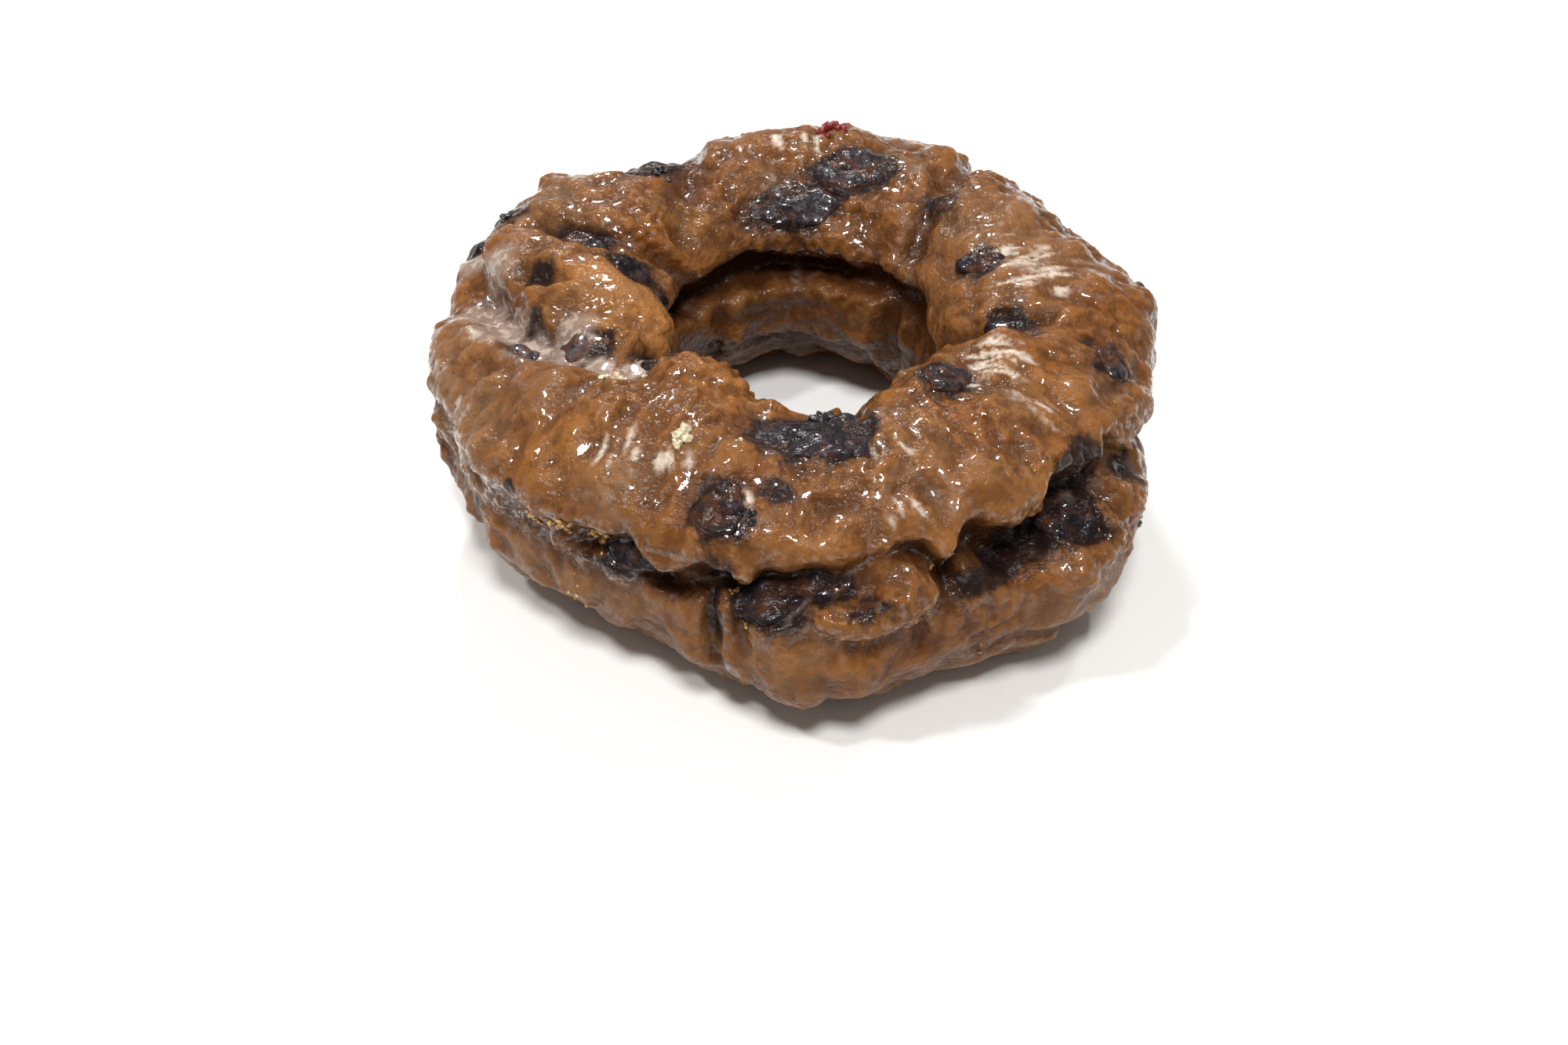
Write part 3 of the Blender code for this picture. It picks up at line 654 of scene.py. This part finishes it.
# Crumbs. Grains of undissolved sugar on the crust, golden crumbs that broke from the split's lip, black
# scraps of burst berry and a dried scrap of red fruit. All are stuck in the film of glaze.
# Each cluster: round the ring and round the section in degrees, its radius, its grains and a grain's radius
SUGAR = [
    (245.3, 87, 0.0012, 12, 0.00055), (218.2, 98, 0.0009, 7, 0.00060), (218.7, 105, 0.0010, 7, 0.00060),
    (222, 112, 0.0008, 5, 0.00026), (257, 88, 0.0004, 3, 0.00024), (247, 80, 0.0006, 3, 0.00022),
]
GOLDEN = [
    (225.0, 28, 0.0010, 12, 0.00040), (230.8, 33, 0.0014, 18, 0.00044), (236.6, 36, 0.0015, 24, 0.00046),
    (260.5, 26, 0.0006, 8, 0.00026), (291, 33, 0.0006, 8, 0.00024), (226, 30, 0.0008, 6, 0.00026),
    (262, 10, 0.0010, 8, 0.00026), (318, -20, 0.0016, 7, 0.00026), (300, -26, 0.0016, 6, 0.00026),
    (232, -18, 0.0030, 7, 0.00024), (212, -4, 0.0014, 5, 0.00024),
]
BERRY_SCRAPS = [
    (277, 118, 0.0013, 12, 0.00055), (282, 119, 0.0007, 4, 0.00045), (331, 0, 0.0008, 5, 0.00040),
    (8, 30, 0.0012, 6, 0.00050), (357, 20, 0.0009, 5, 0.00045), (153, 46, 0.0016, 8, 0.00050),
    (218, 128, 0.0009, 6, 0.00040), (262, 60, 0.0014, 5, 0.00035), (125, 82, 0.0020, 8, 0.00050),
]
RED_FRUIT = [(81.5, 73, 0.0020, 22, 0.00070)]
STANDING_SHARE = 0.25
UNEVENNESS = 0.5
SUGAR_COLOUR = (0.78, 0.66, 0.44)
GOLDEN_COLOUR = (0.60, 0.31, 0.07)
SCRAP_COLOUR = (0.008, 0.006, 0.009)
RED_COLOUR = (0.24, 0.016, 0.014)
SPECK_SIZE, SPECK_HEIGHT = 0.0004, 0.00020

skin_around, skin_section = ring_angles(skin_points)


def on_skin(at_around, at_section):
    """The point of the crust at these angles."""
    off = np.abs(turned_by(skin_around, at_around)) + np.abs(skin_section - at_section)
    return skin_points[int(np.argmin(off))]


def paint_crumb(name, colour, roughness, coat):
    """Grain of one colour, mottled darker."""
    paint = Paint(name, colour, roughness=roughness, coat_roughness=0.08, subsurface_weight=0.2,
                  subsurface_scale=0.0006)
    speck = paint.noise(SPECK_SIZE, roughness=0.6)
    paint.drive("Base Color", paint.mix(speck.step(0.35, 0.75), colour, tuple(0.4 * part for part in colour)))
    paint.drive("Coat Weight", speck * coat)
    paint.bump(speck, SPECK_HEIGHT)
    return paint.material


def crumbs(name, clusters, material, roundness):
    """Clusters of small grains half sunk in the glaze, as one piece."""
    chance = np.random.default_rng(len(name))
    shape = bmesh.new()
    for at_around, at_section, spread, count, grain in clusters:
        middle = on_skin(at_around, at_section)
        for _ in range(count):
            beside = middle + chance.normal(0.0, spread / 2, 3)
            point, index, _ = skin_tree.find(beside)
            size = grain * chance.uniform(0.5, 1.3)
            turn = Matrix.Rotation(chance.uniform(0.0, math.tau), 4, Vector(chance.normal(size=3)))
            sides = Matrix.Diagonal((*chance.uniform(0.6, 1.2, 3), 1.0))
            place = point + Vector(skin_normals[index]) * size * STANDING_SHARE
            at = Matrix.Translation(place) @ turn @ sides
            made = bmesh.ops.create_icosphere(shape, subdivisions=roundness, radius=size, matrix=at)
            for vertex in made["verts"]:
                vertex.co += (vertex.co - point) * UNEVENNESS * noise.noise(vertex.co / (0.8 * grain))
    for vertex in shape.verts:
        vertex.co = np.clip(vertex.co, *np.array(cad_box))
    obj = new_object(name, shape)
    if roundness > 1:
        obj.data.shade_smooth()
    obj.data.materials.append(material)
    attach(obj, "root")


crumbs("sugar_grains", SUGAR, paint_crumb("undissolved sugar", SUGAR_COLOUR, 0.25, 0.5), 1)
crumbs("golden_crumbs", GOLDEN, paint_crumb("golden crumb", GOLDEN_COLOUR, 0.3, 1.0), 1)
crumbs("berry_scraps", BERRY_SCRAPS, paint_crumb("berry scrap", SCRAP_COLOUR, 0.2, 1.0), 3)
crumbs("red_fruit_scrap", RED_FRUIT, paint_crumb("red fruit", RED_COLOUR, 0.3, 0.6), 2)

# Room. The doughnut lies on a white surface that runs out of view, between a softbox above the camera and a
# window behind. Two small lamps at its sides give the wet film more of its sharp glints.
FLOOR_SIDE = 6.0
FLOOR_COLOUR = (0.84, 0.83, 0.81)
FLOOR_SHADE = (0.82, 0.81, 0.79)
FLOOR_SHADE_SIZE = 0.30
CAMERA_PITCH = 43.8
CAMERA_PLACE = (-0.0015, -0.1795, 0.164)
CAMERA_LENS = 40.97
CAMERA_SENSOR = 36.0
WORLD_COLOUR = (1.0, 0.99, 0.97)
WORLD_STRENGTH = 0.26
# Place, width and watts
LIGHTS = {
    "softbox": ((0.02, -0.25, 0.62), 0.15, 3.5),
    "left_lamp": ((-0.28, -0.12, 0.56), 0.06, 1.3),
    "right_lamp": ((0.26, 0.14, 0.62), 0.05, 0.7),
    "window": ((-0.10, 0.60, 0.58), 0.16, 3.8),
}

shape = bmesh.new()
bmesh.ops.create_grid(shape, x_segments=8, y_segments=8, size=FLOOR_SIDE / 2)
floor = new_object("floor", shape)
paint = Paint("white surface", FLOOR_COLOUR, roughness=0.5)
paint.drive("Base Color", paint.mix(paint.noise(FLOOR_SHADE_SIZE, 2.0), FLOOR_COLOUR, FLOOR_SHADE))
floor.data.materials.append(paint.material)

for name, (place, size, power) in LIGHTS.items():
    light = bpy.data.lights.new(name, "AREA")
    light.shape = "DISK"
    light.size = size
    light.energy = power
    obj = bpy.data.objects.new(name, light)
    towards_ring = (-Vector(place)).to_track_quat("-Z", "Y").to_matrix().to_4x4()
    obj.matrix_world = Matrix.Translation(place) @ towards_ring
    bpy.context.scene.collection.objects.link(obj)

world = bpy.data.worlds.new("room")
world.use_nodes = True
world.node_tree.nodes["Background"].inputs["Color"].default_value = (*WORLD_COLOUR, 1.0)
world.node_tree.nodes["Background"].inputs["Strength"].default_value = WORLD_STRENGTH
bpy.context.scene.world = world
bpy.context.scene.view_settings.view_transform = "Standard"

camera = bpy.data.cameras.new("camera")
camera.lens = CAMERA_LENS
camera.sensor_width = CAMERA_SENSOR
camera.clip_start = 0.01
eye = bpy.data.objects.new("camera", camera)
eye.location = CAMERA_PLACE
eye.rotation_euler = (math.radians(90.0 - CAMERA_PITCH), 0.0, 0.0)
bpy.context.scene.collection.objects.link(eye)
bpy.context.scene.camera = eye
